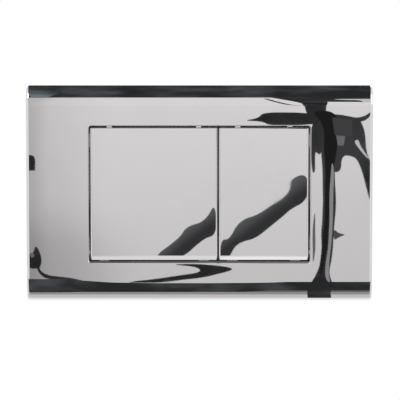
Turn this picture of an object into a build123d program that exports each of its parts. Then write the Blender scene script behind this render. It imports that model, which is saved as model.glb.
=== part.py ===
"""Dual flush button plate for a concealed cistern.

A chrome cover with rolled top and bottom edges frames two hinged buttons, a wide one for the full
flush and a narrow one for the half flush. Behind it a mounting frame, held to the cistern by two
bolts, guides a sprung plunger and push rod for each button.

Millimetres. The origin is the centre of the wall face: X runs to the right, Y into the wall and
Z up, so the user stands on the -Y side.
"""

import os
from math import cos, pi, radians, sin, sqrt

from build123d import *

# Cover: overall size and moulded section
plate_width = 260.0
plate_height = 163.0
plate_depth = 12.0
cover_wall = 2.4
lip_depth = 1.5
roll_height = 15.0
end_edge_radius = 2.2
window_width = 166.0
window_height = 103.0
window_corner_radius = 1.8
window_edge_bevel = 0.6
skirt_wall = 1.8
skirt_depth = 7.6
side_rib_wall = 1.4
side_rib_height = 2.0
side_rib_spacing = 60.0

# Nubs in the gap round the buttons, on the window's wall
nub_setback = 0.9
nub_depth = 3.0
nub_height = 0.8
upper_nub_length = 10.0
upper_nub_inset = 11.0
lower_nub_length = 3.0
lower_nub_inset = 8.0

# Buttons: split_x is the middle of the gap between the two
split_x = 14.0
button_gap = 1.3
button_foot_gap = 2.1
button_proud = 0.5
button_wall = 2.4
button_rim_wall = 1.6
button_rim_depth = 5.1
button_top_radius = 0.8
button_bevel_height = 2.9
button_bevel_depth = 0.8
button_side_bevel = 0.6
button_rib_wall = 1.2
button_rib_height = 2.6
stop_tab_width = 8.0
stop_tab_inset = 10.0
stop_tab_reach = 3.2
stop_gap = 0.2

# Hinges along the top of the window
hinge_drop = 7.0
hinge_inset = 12.0
hinge_pin_radius = 1.5
hinge_pin_end = 0.6
hinge_press_clearance = 0.01
hinge_running_clearance = 0.05
lug_radius = 3.2
lug_thickness = 4.0
lug_rim_clearance = 0.7
ear_radius = 3.0
ear_thickness = 4.0
ear_side_clearance = 0.3
ear_gusset = 8.0
press_angle = 4.0

# Mounting frame
frame_flange = 3.0
frame_rib_wall = 2.0
frame_corner_radius = 6.0
frame_end_gap = 2.6
frame_edge_land = 3.5
frame_rib_gap = 0.6
opening_side_gap = 2.2
opening_tab_gap = 1.8
opening_corner_radius = 3.0
collar_wall = 2.0
collar_depth = 8.0
opening_lip = 8.0
opening_lip_wall = 2.5
centre_rail = 2.4
bridge_setback = 14.0
bridge_wall = 3.0
bridge_height = 28.0
bridge_rib_wall = 2.0
bridge_rib_depth = 5.0

# Snap hooks that hold the cover to the frame
hook_spacing = 110.0
hook_width = 10.0
hook_wall = 1.8
hook_gap = 0.5
hook_barb = 1.4
hook_tip_setback = 0.3
hook_barb_depth = 1.2
hook_catch_gap = 0.2
catch_depth = 2.0
catch_side_gap = 1.0

# Plungers, push rods and return springs
rod_spacing = 50.0
half_rod_offset = 11.0
rod_z = -20.0
boss_radius = 5.0
boss_length = 7.6
contact_gap = 0.3
plunger_flange = 2.2
plunger_flange_margin = 0.15
plunger_stem = 9.0
plunger_stem_length = 32.0
guide_clearance = 0.2
guide_wall = 1.2
guide_spigot = 6.0
guide_tail = 10.0
spring_wire = 0.9
spring_turns = 5
spring_runs = 12
spring_clearance = 0.5
spring_end_gap = 0.1
rod_radius = 3.0
rod_length = 86.0
rod_engagement = 18.0
rod_thread_clearance = 0.02
nut_across_flats = 10.0
nut_thickness = 5.0
tip_radius = 4.6
tip_length = 11.0
tip_overlap = 7.0

# Fixing bolts
bolt_thread_radius = 4.0
bolt_shank_radius = 3.4
bolt_shank_end = 4.0
bolt_length = 70.0
bolt_end_chamfer = 1.2
bolt_head_flats = 11.0
bolt_head_height = 2.8
bolt_head_clearance = 1.0
bolt_flange_radius = 9.0
bolt_flange = 1.6
slot_length = 15.0
slot_clearance = 0.4
pad_margin = 3.0
pad_edge = 1.0

# Rubber buffers that end the press, each a cap pushed over a tongue of the frame
buffer_inset = 22.0
buffer_pad = 1.8
buffer_wall = 1.2
buffer_height = 9.5
buffer_edge = 0.5
buffer_clearance = 0.05
buffer_gap = 0.3
tongue_width = 12.0
tongue_wall = 2.5
tongue_rise = 6.0

# Places along Y, from the front to the wall and past it
front_y = -plate_depth
cover_back_y = front_y + cover_wall
skirt_end_y = cover_back_y + skirt_depth
button_front_y = front_y - button_proud
button_back_y = button_front_y + button_wall
rim_back_y = button_front_y + button_rim_depth
lug_front_y = rim_back_y + lug_rim_clearance
hinge_y = lug_front_y + lug_radius
boss_end_y = button_back_y + boss_length
plunger_front_y = boss_end_y + contact_gap
spring_front_y = plunger_front_y + plunger_flange
stem_end_y = spring_front_y + plunger_stem_length
nut_end_y = stem_end_y + nut_thickness
rod_start_y = stem_end_y - rod_engagement
rod_end_y = rod_start_y + rod_length
flange_front_y = -frame_flange
frame_rib_y = cover_back_y + side_rib_height + frame_rib_gap
bolt_head_y = cover_back_y + bolt_head_clearance
bolt_seat_y = bolt_head_y + bolt_head_height + bolt_flange
hook_tip_y = -hook_tip_setback
hook_barb_y = hook_tip_y - hook_barb_depth
catch_y = hook_barb_y - hook_catch_gap

# Places along X and Z
window_top = window_height / 2
skirt_top = window_top + skirt_wall
button_top = window_top - button_gap
button_foot = button_foot_gap - window_top
hinge_z = window_top - hinge_drop
full_button_x = (-window_width / 2 + button_gap, split_x - button_gap / 2)
half_button_x = (split_x + button_gap / 2, window_width / 2 - button_gap)
opening_x = window_width / 2 + skirt_wall + opening_side_gap
opening_z = window_top + stop_tab_reach + opening_tab_gap
collar_x = opening_x + collar_wall
collar_z = opening_z + collar_wall
frame_x = plate_width / 2 - cover_wall - frame_end_gap
fixing_x = (collar_x + frame_x) / 2
frame_z = collar_z + frame_edge_land
hook_z = frame_z + hook_gap
half_rod_x = split_x + half_rod_offset
full_rod_x = half_rod_x - rod_spacing

# Sizes that follow from a fit
guide_bore = plunger_stem + 2 * guide_clearance
guide_radius = guide_bore / sqrt(2) + guide_wall
spring_radius = guide_radius + spring_clearance + spring_wire / 2
plunger_flange_radius = spring_radius + spring_wire / 2 + plunger_flange_margin
bolt_hole_radius = bolt_thread_radius + slot_clearance

# The buffers stand where the pressed rim stops: the lower rim swings in about the hinge
press = radians(press_angle)
pressed_rim_y = hinge_y + (rim_back_y - hinge_y) * cos(press) + (hinge_z - button_foot) * sin(press)
buffer_front_y = pressed_rim_y + buffer_gap
tongue_front_y = buffer_front_y + buffer_pad
tongue_back_y = tongue_front_y + tongue_wall
tongue_top = button_foot + tongue_rise


def slab(shape, y_from, y_to):
    """A plate whose shape is drawn in X and Z, between two depths."""
    base = Plane((0, y_to, 0), x_dir=(1, 0, 0), z_dir=(0, -1, 0))
    return extrude(base * shape, amount=y_to - y_from)


def web(shape, x_from, x_to):
    """A plate whose shape is drawn in Y and Z, between two places along the width."""
    return extrude(Plane.YZ.offset(x_from) * shape, amount=x_to - x_from)


def turned(x, z, *corners):
    """A round piece on an axis along Y, from the corners (radius, y) of its half section."""
    return Pos(x, 0, z) * revolve(make_face(Polyline(*corners, close=True)), Axis.Y)


def outline(*corners):
    """A flat shape from its corners."""
    return make_face(Polyline(*corners, close=True))


def span(x_from, x_to, z_from, z_to):
    """A rectangle between two places in X and two in Z."""
    middle = Pos((x_from + x_to) / 2, (z_from + z_to) / 2)
    return middle * Rectangle(x_to - x_from, z_to - z_from)


def ring(half_x, half_z, radius, wall):
    """A rectangular ring with rounded corners; the half sizes are those of its outside."""
    outer = RectangleRounded(2 * half_x, 2 * half_z, radius)
    inner = RectangleRounded(2 * (half_x - wall), 2 * (half_z - wall), radius - wall)
    return outer - inner


def insets(button_x, inset):
    """Two places the same distance in from the sides of a button."""
    return button_x[0] + inset, button_x[1] - inset


# Cover


def cover_section(inset, back_y):
    """The cover's section: a lip at the wall, rolled edges and a flat front, drawn in from its outside."""
    roll_z = plate_height / 2 - roll_height
    edge_z = plate_height / 2 - inset
    depth_radius = plate_depth - lip_depth - inset
    height_radius = roll_height - inset
    top_roll = EllipticalCenterArc((-lip_depth, roll_z), depth_radius, height_radius, 90, arc_size=90)
    bottom_roll = EllipticalCenterArc((-lip_depth, -roll_z), depth_radius, height_radius, 180, arc_size=90)
    front = Line(top_roll @ 1, bottom_roll @ 0)
    back = Polyline(bottom_roll @ 1, (back_y, -edge_z), (back_y, edge_z), top_roll @ 0)
    return make_face([top_roll, front, bottom_roll, back])


def cover_shell():
    half_width = plate_width / 2
    inner_half = half_width - cover_wall
    body = web(cover_section(0, 0), -half_width, half_width)
    ends = body.edges().filter_by(lambda e: abs(abs(e.center().X) - half_width) < 1e-6)
    body = fillet(ends.filter_by(lambda e: e.center().Y < -1e-6), end_edge_radius)
    body -= web(cover_section(cover_wall, cover_wall), -inner_half, inner_half)
    body -= slab(window_shape(), front_y, cover_back_y)
    rim = body.edges().filter_by(
        lambda e: abs(e.center().Y - front_y) < 1e-6
        and abs(e.center().X) < half_width - cover_wall - end_edge_radius
        and abs(e.center().Z) < window_top + 1e-6
    )
    return chamfer(rim, window_edge_bevel)


def window_shape():
    return RectangleRounded(window_width, window_height, window_corner_radius)


def window_skirt():
    """The wall that guides the buttons, notched along the bottom where their stop tabs pass."""
    section = Rectangle(window_width + 2 * skirt_wall, window_height + 2 * skirt_wall)
    wall = slab(section - window_shape(), cover_back_y, skirt_end_y)
    half = stop_tab_width / 2 + catch_side_gap
    for button_x in (full_button_x, half_button_x):
        for x in insets(button_x, stop_tab_inset):
            wall -= slab(span(x - half, x + half, -skirt_top, -window_top), cover_back_y, skirt_end_y)
    return wall


def hinge_lugs():
    """Lugs that hang from the skirt behind the buttons and hold the hinge pins."""
    shape = outline(
        (lug_front_y, skirt_top),
        (lug_front_y, hinge_z),
        (hinge_y + lug_radius, hinge_z),
        (hinge_y + lug_radius, hinge_z + lug_radius / 2),
        (skirt_end_y, window_top),
        (skirt_end_y, skirt_top),
    )
    eye = Pos(hinge_y, hinge_z) * Circle(lug_radius)
    bore = Pos(hinge_y, hinge_z) * Circle(hinge_pin_radius + hinge_press_clearance)
    return [web(shape + eye - bore, x_from, x_to) for x_from, x_to in lug_places()]


def lug_places():
    """Where the lugs stand along X: one near each side of each button."""
    for left, right in (full_button_x, half_button_x):
        yield left + hinge_inset, left + hinge_inset + lug_thickness
        yield right - hinge_inset - lug_thickness, right - hinge_inset


def guide_nubs():
    """Nubs that centre the buttons: one at each hinge lug, and two on each side of the window."""
    edge_x = window_width / 2
    shapes = [span(x_from, x_to, window_top - nub_height, skirt_top) for x_from, x_to in lug_places()]
    for middle, length in (
        (window_top - upper_nub_inset, upper_nub_length),
        (lower_nub_inset - window_top, lower_nub_length),
    ):
        low = middle - length / 2
        high = middle + length / 2
        shapes.append(span(edge_x - nub_height, edge_x + skirt_wall, low, high))
        shapes.append(span(-edge_x - skirt_wall, nub_height - edge_x, low, high))
    start_y = front_y + nub_setback
    return [slab(shape, start_y, start_y + nub_depth) for shape in shapes]


def snap_hooks():
    """Barbed arms, two along the top and two along the bottom, that snap behind the frame's flange."""
    arm = outline(
        (cover_back_y - cover_wall / 2, hook_z + hook_wall),
        (cover_back_y - cover_wall / 2, hook_z),
        (hook_barb_y, hook_z),
        (hook_barb_y, hook_z - hook_barb),
        (hook_tip_y, hook_z),
        (hook_tip_y, hook_z + hook_wall),
    )
    upper = []
    for x in (-hook_spacing / 2, hook_spacing / 2):
        upper.append(web(arm, x - hook_width / 2, x + hook_width / 2))
    return upper + [mirror(hook, Plane.XY) for hook in upper]


def side_ribs():
    """Low ribs that tie the window skirt to the ends of the cover."""
    ribs = []
    reach = (window_width / 2 + skirt_wall / 2, plate_width / 2 - cover_wall / 2)
    for z in (-side_rib_spacing / 2, side_rib_spacing / 2):
        for x_from, x_to in (reach, (-reach[1], -reach[0])):
            rib = span(x_from, x_to, z - side_rib_wall / 2, z + side_rib_wall / 2)
            ribs.append(slab(rib, cover_back_y - cover_wall / 2, cover_back_y + side_rib_height))
    return ribs


def cover_plate():
    body = cover_shell() + window_skirt()
    for piece in hinge_lugs() + guide_nubs() + snap_hooks() + side_ribs():
        body += piece
    return body


# Buttons


def button_cap(button_x):
    """The pressed shell: a flat front with a shallow bevel along the bottom, and a rim behind it."""
    section = outline(
        (button_front_y, button_foot + button_bevel_height),
        (button_front_y, button_top),
        (rim_back_y, button_top),
        (rim_back_y, button_foot),
        (button_front_y + button_bevel_depth, button_foot),
    )
    section = fillet(section.vertices().group_by(Axis.Y)[-1].sort_by(Axis.X)[0], button_top_radius)
    cap = web(section, *button_x)
    ends = cap.edges().filter_by(
        lambda e: min(abs(e.center().X - button_x[0]), abs(e.center().X - button_x[1])) < 1e-6
        and e.center().Y < rim_back_y - 1e-6
    )
    cap = chamfer(ends, button_side_bevel)
    pocket = span(
        button_x[0] + button_rim_wall,
        button_x[1] - button_rim_wall,
        button_foot + button_rim_wall,
        button_top - button_rim_wall,
    )
    return cap - slab(pocket, button_back_y, rim_back_y)


def button_ribs(button_x):
    """Stiffening ribs across the back of a button, two upright and one level."""
    left, right = button_x
    third = (right - left) / 3
    root_y = button_back_y - button_wall / 2
    end_y = button_back_y + button_rib_height
    foot_z = button_foot + button_rim_wall / 2
    top_z = button_top - button_rim_wall / 2
    half = button_rib_wall / 2
    ribs = [slab(span(left + half, right - half, -half, half), root_y, end_y)]
    for x in (left + third, right - third):
        ribs.append(slab(span(x - half, x + half, foot_z, top_z), root_y, end_y))
    return ribs


def hinge_ears(button_x):
    """Ears behind the top of a button that turn on the hinge pins, just inside the cover's lugs."""
    left, right = button_x
    offset = hinge_inset + lug_thickness + ear_side_clearance
    root_y = button_back_y - button_wall / 2
    shape = outline(
        (root_y, hinge_z + ear_radius),
        (hinge_y, hinge_z + ear_radius),
        (hinge_y + ear_radius, hinge_z),
        (hinge_y, hinge_z - ear_radius),
        (root_y, hinge_z - ear_gusset),
    )
    eye = Pos(hinge_y, hinge_z) * Circle(ear_radius)
    bore = Pos(hinge_y, hinge_z) * Circle(hinge_pin_radius + hinge_running_clearance)
    ear = shape + eye - bore
    return [
        web(ear, left + offset, left + offset + ear_thickness),
        web(ear, right - offset - ear_thickness, right - offset),
    ]


def stop_tabs(button_x):
    """Tabs under the lower rim that rest behind the cover and set the button flush."""
    tabs = []
    for x in insets(button_x, stop_tab_inset):
        low = -window_top - stop_tab_reach
        shape = span(x - stop_tab_width / 2, x + stop_tab_width / 2, low, button_foot + button_rim_wall / 2)
        tabs.append(slab(shape, cover_back_y + stop_gap, rim_back_y))
    return tabs


def flush_button(button_x, rod_x):
    body = button_cap(button_x)
    root_y = button_back_y - button_wall / 2
    boss = slab(Pos(rod_x, rod_z) * Circle(boss_radius), root_y, boss_end_y)
    for piece in button_ribs(button_x) + hinge_ears(button_x) + stop_tabs(button_x) + [boss]:
        body += piece
    return body


def hinge_pin(x_from, x_to):
    """A plain steel pin along X."""
    return web(Pos(hinge_y, hinge_z) * Circle(hinge_pin_radius), x_from, x_to)


def hinge_pins(button_x):
    """The left and right pin of a button, each through a lug and the ear beside it."""
    left, right = button_x
    start = hinge_inset - hinge_pin_end
    end = hinge_inset + lug_thickness + ear_side_clearance + ear_thickness + hinge_pin_end
    return hinge_pin(left + start, left + end), hinge_pin(right - end, right - start)


# Mounting frame


def frame_ring():
    """The flange on the wall, its stiffening rib, and the collar inside the wall opening with its lip."""
    flange = RectangleRounded(2 * frame_x, 2 * frame_z, frame_corner_radius)
    hole = RectangleRounded(2 * opening_x, 2 * opening_z, opening_corner_radius)
    body = slab(flange - hole, flange_front_y, 0)
    body += slab(ring(frame_x, frame_z, frame_corner_radius, frame_rib_wall), frame_rib_y, flange_front_y)
    collar = ring(collar_x, collar_z, opening_corner_radius + collar_wall, collar_wall)
    body += slab(collar, flange_front_y, collar_depth)
    return body + slab(lip_shape(), collar_depth - opening_lip_wall, collar_depth)


def lip_shape():
    """The collar's inward lip and centre rail, which close the view through the gaps round the buttons."""
    clear_x = opening_x - opening_lip
    clear_z = opening_z - opening_lip
    shape = RectangleRounded(2 * collar_x, 2 * collar_z, opening_corner_radius + collar_wall)
    shape -= span(-clear_x, split_x - centre_rail / 2, -clear_z, clear_z)
    return shape - span(split_x + centre_rail / 2, clear_x, -clear_z, clear_z)


def rod_bridge():
    """The channel across the opening that carries the plunger guides, on cheeks behind the collar."""
    low = rod_z - bridge_height / 2
    high = rod_z + bridge_height / 2
    back_y = bridge_setback + bridge_wall
    rib_y = bridge_setback - bridge_rib_depth
    body = slab(span(-collar_x, collar_x, low, high), bridge_setback, back_y)
    for z_from, z_to in ((low, low + bridge_rib_wall), (high - bridge_rib_wall, high)):
        body += slab(span(-collar_x, collar_x, z_from, z_to), rib_y, bridge_setback)
    for x_from, x_to in ((-collar_x, -opening_x), (opening_x, collar_x)):
        body += slab(span(x_from, x_to, low, high), 0, bridge_setback)
    for x in (full_rod_x, half_rod_x):
        body += turned(
            x,
            rod_z,
            (0, bridge_setback - guide_spigot),
            (guide_radius, bridge_setback - guide_spigot),
            (guide_radius, back_y + guide_tail),
            (0, back_y + guide_tail),
        )
        bore = Pos(x, rod_z) * Rectangle(guide_bore, guide_bore)
        body -= slab(bore, bridge_setback - guide_spigot, back_y + guide_tail)
    return body


def stop_tongues():
    """Tongues along the lower edge of the opening that carry the rubber buffers."""
    low = -opening_z - collar_wall / 2
    half = tongue_width / 2
    return [
        slab(span(x - half, x + half, low, tongue_top), tongue_front_y, tongue_back_y)
        for x in buffer_places()
    ]


def buffer_places():
    """Where the buffers stand along X, two behind each button."""
    return *insets(full_button_x, buffer_inset), *insets(half_button_x, buffer_inset)


def mounting_frame():
    body = frame_ring()
    pad = Rectangle(slot_length + 2 * pad_margin, 2 * (bolt_flange_radius + pad_edge))
    slot = SlotOverall(slot_length, 2 * bolt_hole_radius)
    for x in (-fixing_x, fixing_x):
        body -= slab(Pos(x, 0) * pad, min(bolt_seat_y, flange_front_y), 0)
        body += slab(Pos(x, 0) * pad, bolt_seat_y, 0)
        body -= slab(Pos(x, 0) * slot, min(bolt_seat_y, flange_front_y), 0)
    for x in (-hook_spacing / 2, hook_spacing / 2):
        half = hook_width / 2 + catch_side_gap
        for z_from, z_to in ((frame_z - catch_depth, frame_z), (-frame_z, catch_depth - frame_z)):
            body -= slab(span(x - half, x + half, z_from, z_to), catch_y, 0)
    for piece in [rod_bridge()] + stop_tongues():
        body += piece
    return body


def fixing_bolt(x):
    """A hexagon bolt with a flanged head: a thinner shank through the frame, then the thread."""
    flange_y = bolt_head_y + bolt_head_height
    hexagon = RegularPolygon(bolt_head_flats / 2, 6, major_radius=False)
    head = slab(Pos(x, 0) * hexagon, bolt_head_y, flange_y)
    return head + turned(
        x,
        0,
        (0, flange_y),
        (bolt_flange_radius, flange_y),
        (bolt_flange_radius, bolt_seat_y),
        (bolt_shank_radius, bolt_seat_y),
        (bolt_shank_radius, bolt_shank_end),
        (bolt_thread_radius, bolt_shank_end),
        (bolt_thread_radius, bolt_length - bolt_end_chamfer),
        (bolt_thread_radius - bolt_end_chamfer, bolt_length),
        (0, bolt_length),
    )


def stop_buffer(x):
    """A rubber cap over the end of a tongue, with a thicker pad and eased edges towards the button."""
    half = tongue_width / 2 + buffer_wall
    top = tongue_top + buffer_wall
    shape = span(x - half, x + half, top - buffer_height, top)
    cap = slab(shape, buffer_front_y, tongue_back_y + buffer_wall)
    cap = chamfer(cap.faces().sort_by(Axis.Y)[0].edges(), buffer_edge)
    half = tongue_width / 2 + buffer_clearance
    pocket = span(x - half, x + half, top - buffer_height, tongue_top + buffer_clearance)
    return cap - slab(pocket, tongue_front_y - buffer_clearance, tongue_back_y + buffer_clearance)


# Plungers and push rods


def plunger(x):
    """A round head on a square stem: the button pushes the head in, the spring pushes it back."""
    place = Pos(x, rod_z)
    head = slab(place * Circle(plunger_flange_radius), plunger_front_y, spring_front_y)
    stem = slab(place * Rectangle(plunger_stem, plunger_stem), spring_front_y, stem_end_y)
    bore = slab(place * Circle(rod_radius + rod_thread_clearance), rod_start_y, stem_end_y)
    return head + stem - bore


def return_spring(x):
    """An open coil of wire round the guide, each turn drawn as short straight runs."""
    half_wire = spring_wire / 2
    height = bridge_setback - spring_front_y - 2 * (half_wire + spring_end_gap)
    count = spring_turns * spring_runs
    turn = 2 * pi / spring_runs
    route = Polyline(
        *(
            (spring_radius * cos(i * turn), spring_radius * sin(i * turn), height * i / count)
            for i in range(count + 1)
        )
    )
    wire = Plane(route @ 0, z_dir=route % 0) * RegularPolygon(half_wire, 6)
    coil = sweep(wire, route, transition=Transition.RIGHT)
    return Pos(x, spring_front_y + half_wire + spring_end_gap, rod_z) * Rot(-90, 0, 0) * coil


def push_rod(x):
    """A threaded rod, screwed into the plunger so that its reach can be set."""
    return slab(Pos(x, rod_z) * Circle(rod_radius), rod_start_y, rod_end_y)


def lock_nut(x):
    """A hexagon nut that locks the rod against the plunger."""
    hexagon = RegularPolygon(nut_across_flats / 2, 6, major_radius=False)
    hole = Circle(rod_radius + rod_thread_clearance)
    return slab(Pos(x, rod_z) * (hexagon - hole), stem_end_y, nut_end_y)


def push_tip(x):
    """A cap on the end of the rod, where it meets the cistern's lever."""
    place = Pos(x, rod_z)
    start_y = rod_end_y - tip_overlap
    cap = slab(place * Circle(tip_radius), start_y, start_y + tip_length)
    return cap - slab(place * Circle(rod_radius + rod_thread_clearance), start_y, rod_end_y)


def build():
    """Every piece by its name."""
    pieces = {
        "cover_plate": cover_plate(),
        "mounting_frame": mounting_frame(),
        "fixing_bolt_left": fixing_bolt(-fixing_x),
        "fixing_bolt_right": fixing_bolt(fixing_x),
    }
    for flush, button_x, rod_x in (
        ("full_flush", full_button_x, full_rod_x),
        ("half_flush", half_button_x, half_rod_x),
    ):
        pieces[flush + "_button"] = flush_button(button_x, rod_x)
        pin_left, pin_right = hinge_pins(button_x)
        pieces[flush + "_hinge_pin_left"] = pin_left
        pieces[flush + "_hinge_pin_right"] = pin_right
        buffer_left, buffer_right = insets(button_x, buffer_inset)
        pieces[flush + "_stop_buffer_left"] = stop_buffer(buffer_left)
        pieces[flush + "_stop_buffer_right"] = stop_buffer(buffer_right)
        pieces[flush + "_plunger"] = plunger(rod_x)
        pieces[flush + "_return_spring"] = return_spring(rod_x)
        pieces[flush + "_push_rod"] = push_rod(rod_x)
        pieces[flush + "_lock_nut"] = lock_nut(rod_x)
        pieces[flush + "_push_tip"] = push_tip(rod_x)
    return pieces


os.makedirs("parts", exist_ok=True)
for name, piece in build().items():
    export_step(piece, f"parts/{name}.step")
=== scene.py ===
"""Chrome dual flush plate, dressed for rendering round its CAD frame.

The cover, buttons and mouldings are eased copies of their CAD nodes, and the frame gets its ejector marks.
The bolts, rods, nuts, pins, tips and springs are modelled afresh, with threads and closed coils. A quiet
strip is added in the gap under the buttons. Every finish is a node material.
"""

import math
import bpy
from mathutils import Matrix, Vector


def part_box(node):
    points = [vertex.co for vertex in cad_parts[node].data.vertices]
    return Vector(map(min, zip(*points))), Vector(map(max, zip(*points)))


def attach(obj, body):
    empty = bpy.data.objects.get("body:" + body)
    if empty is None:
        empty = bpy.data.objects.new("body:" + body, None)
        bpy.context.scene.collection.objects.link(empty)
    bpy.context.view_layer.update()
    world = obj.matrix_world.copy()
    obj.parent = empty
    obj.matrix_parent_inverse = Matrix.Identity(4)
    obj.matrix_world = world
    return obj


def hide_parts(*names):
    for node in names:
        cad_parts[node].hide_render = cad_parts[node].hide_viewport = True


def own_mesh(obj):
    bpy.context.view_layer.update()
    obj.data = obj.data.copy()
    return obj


bl_info = {
    "name": "Dual flush plate",
    "version": (1, 0, 0),
    "blender": (4, 5, 0),
    "location": "View3D > Sidebar > Flush plate",
    "description": "Models a chrome dual flush plate, its mechanism and a small studio round it",
    "category": "Object",
}

import bpy
from mathutils import Vector

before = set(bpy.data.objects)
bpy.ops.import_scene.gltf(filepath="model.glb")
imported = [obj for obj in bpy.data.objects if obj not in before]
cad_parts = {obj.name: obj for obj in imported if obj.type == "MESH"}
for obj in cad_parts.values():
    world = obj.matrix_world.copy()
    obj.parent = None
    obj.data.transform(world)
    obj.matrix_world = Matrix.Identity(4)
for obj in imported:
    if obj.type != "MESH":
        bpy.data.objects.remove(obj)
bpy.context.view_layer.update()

FLUSHES = ("full_flush", "half_flush")
SIDES = ("left", "right")
PLATE_FRONT = -0.012
MILLIMETRE = 0.001

# Points this near are one point of a CAD mesh, one of a rounded piece, or on a plane
SAME_POINT = 1e-6
MERGE_REACH = 0.000005
ON_PLANE = 1e-5
# How far joined solids reach into each other, and a cutter past what it cuts
JOIN_REACH = 0.0003
CUT_REACH = 0.001
# How much of a normal lies along an axis that it points along, is square to, or turns back from
ALONG = 0.9
ACROSS = 0.1
FACING_BACK = 0.3
# Faces that meet at less than the first angle are one flat, and at more than the second a sharp edge
FLAT_ANGLE = math.radians(1)
SHARP_ANGLE = math.radians(32)
# How far the corners of a quad may be from square
QUAD_ANGLE = math.radians(60)

# The window's side walls: how far out they start and end, and how far up and down they reach
WINDOW_SIDE = (0.0808, 0.08302)
WINDOW_SIDE_REACH = 0.05
# A button is dull behind this depth, and the edges of its front are rounded below this height
BUTTON_DULL = -0.0096
BUTTON_HINGE = 0.045
# A thread's depth and flat crest as shares of its pitch, and a hexagon's reach in X at radius 1
THREAD_DEPTH = 0.61
THREAD_CREST = 0.35
HEXAGON_REACH = 0.866
# The steps of a thread's lead-in: how many pitches from the end, and the share of the width that is left
LEAD_IN = ((1.2, 0.88), (0.5, 0.86))
# A hexagon's blank against its corners, the share of them that is turned off, and a bore against its rod
BLANK_SHARE = 1.01
CHAMFER_SHARE = 0.85
BORE_SHARE = 1.01
TIP_SIDES = 32
COIL_STEPS = 40
# The rise of a closed turn in wires
CLOSED_RISE = 1.06

# The ejector pins' marks on the back of the frame: the depth of a face, and the places on it in X and Z
EJECTOR_MARKS = (
    (0, ((-0.107, 0.045), (0.107, 0.045), (-0.107, -0.045), (0.107, -0.045))),
    (0.008, ((-0.055, 0.0527), (0.055, 0.0527))),
    (0.017, ((-0.06, -0.02), (0, -0.02), (0.06, -0.02))),
)

# Soft outlines of where the flags' reflections fall on the plate's face, X and Z in millimetres.
# A point that comes twice makes a corner
DARK_FLAGS = {
    "upright_flag": (
        (88, 66), (100, 66), (101, 16), (104, -4), (101, -30), (100, -50),
        (97, -62), (102, -76), (83, -76), (90, -62), (92, -44), (92, 10),
    ),
    "neck_flag": (
        (25, 900), (55, 480), (74, 260), (79, 170), (79, 72),
        (84, 55), (95, 55), (95, 90), (99, 420), (105, 900),
    ),
    "brow_flag": (
        (96, 255), (96, 255), (140, 245), (140, 245), (140, 900), (140, 900), (96, 900), (96, 900),
    ),
    "arm_flag": (
        (52, 420), (60, 250), (69, 120), (76, 92), (83, 80),
        (83, 77), (74, 88), (65, 116), (56, 250), (49, 420),
    ),
    "level_flag": (
        (32, 56), (44, 58), (47, 64), (80, 63), (104, 63), (121, 60),
        (131, 68), (125, 57), (100, 56), (75, 51), (52, 51), (47, 55),
    ),
    "round_flag": (
        (96, 62), (120, 62), (125, 50), (126, 32), (131, 22), (130, -12),
        (126, 11), (121, 27), (115, 32), (107, 32), (107, 19), (98, 18),
    ),
    "hanging_flag": (
        (83, 56), (94, 56), (94, 16), (91, 16), (91, 35), (89, 31), (86, 35), (86, 17), (83, 17),
    ),
    "left_slant_flag": (
        (-38, -49), (-14, -33), (-9, -25), (5, -21), (13, -5), (13, -32), (4, -34), (-13, -50),
    ),
    "right_slant_flag": (
        (15, -51), (15, -35), (22, -35), (31, -19), (45, -15), (68, 1), (67, 11),
        (80, 17), (81, -4), (66, -12), (45, -32), (28, -37), (20, -51),
    ),
    "hook_flag": (
        (29, -58), (8, -53), (-24, -53), (1, -56), (1, -62), (-30, -66), (-60, -71), (-35, -71), (4, -66),
    ),
    "trailing_flag": (
        (-125, -50), (-121, -50), (-120, -62), (-95, -66), (-80, -71), (-95, -69), (-119, -66),
    ),
    "knob_flag": (
        (-130, -47), (-125, -47), (-123, -40), (-119, -48), (-119, -55), (-122, -58), (-130, -57),
    ),
    "end_flag": (
        (-131, 30), (-131, 30), (-126, 30), (-123, 28), (-123, 18), (-123, 18), (-131, 18), (-131, 18),
    ),
}
# Flags nearer the plate than those, each with how bright it is
TONED_FLAGS = {
    "core_flag": (
        0.018,
        (
            (84, 66), (101, 66), (104, 52), (102, 32), (98, 12), (98, -24), (95, -48), (92, -68),
            (91, -48), (94, -24), (94, 12), (92, 36), (93, 52),
        ),
    ),
    "panel_flag": (
        0.075,
        ((99, 60), (99, 60), (114, 59), (114, 59), (115, 47), (115, 47), (101, 47), (101, 47)),
    ),
    "patch_flag": (
        0.21,
        ((102, 47), (102, 47), (109, 47), (109, 47), (108, 40), (108, 40), (103, 40), (103, 40)),
    ),
    "upright_streak": (
        0.36,
        ((98, 30), (101, 20), (101, -14), (99, -40), (97, -60), (99, -74), (94, -64), (97, -40), (98, -14)),
    ),
    "round_streak": (0.75, ((116, 44), (120, 45), (121, 40), (128, 28), (127, 28), (119, 39))),
    "thin_flag": (0.16, ((86, -8), (88, -34), (86, -58), (85, -34))),
    "knob_streak": (0.2, ((-128, -46), (-125, -46), (-124, -49), (-127, -50))),
    "brow_streak": (
        0.8,
        (
            (102, 375), (112, 395), (140, 395), (140, 395), (140, 230), (140, 230),
            (124, 230), (124, 230), (124, 335), (112, 340),
        ),
    ),
    "tip_flag": (0.1, ((101, -26), (105, -30), (112, -31), (105, -33), (101, -36))),
}
# How far the flags stand in front of the plate, and how much nearer each toned flag is than the last
FLAG_DISTANCE = 0.9
FLAG_STEP = 0.002
# Tints of the light of the world, the cards and the flags
WHITE = (1, 1, 1)
COOL_TINT = (0.95, 0.97, 1)
FLAG_TINT = (0.92, 0.96, 1)
RIM_TINT = (0.85, 0.94, 1)
BLUE_TINT = (0.72, 0.86, 1)
CAMERA_TARGET = (0.0004, PLATE_FRONT, -0.0041)


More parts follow.
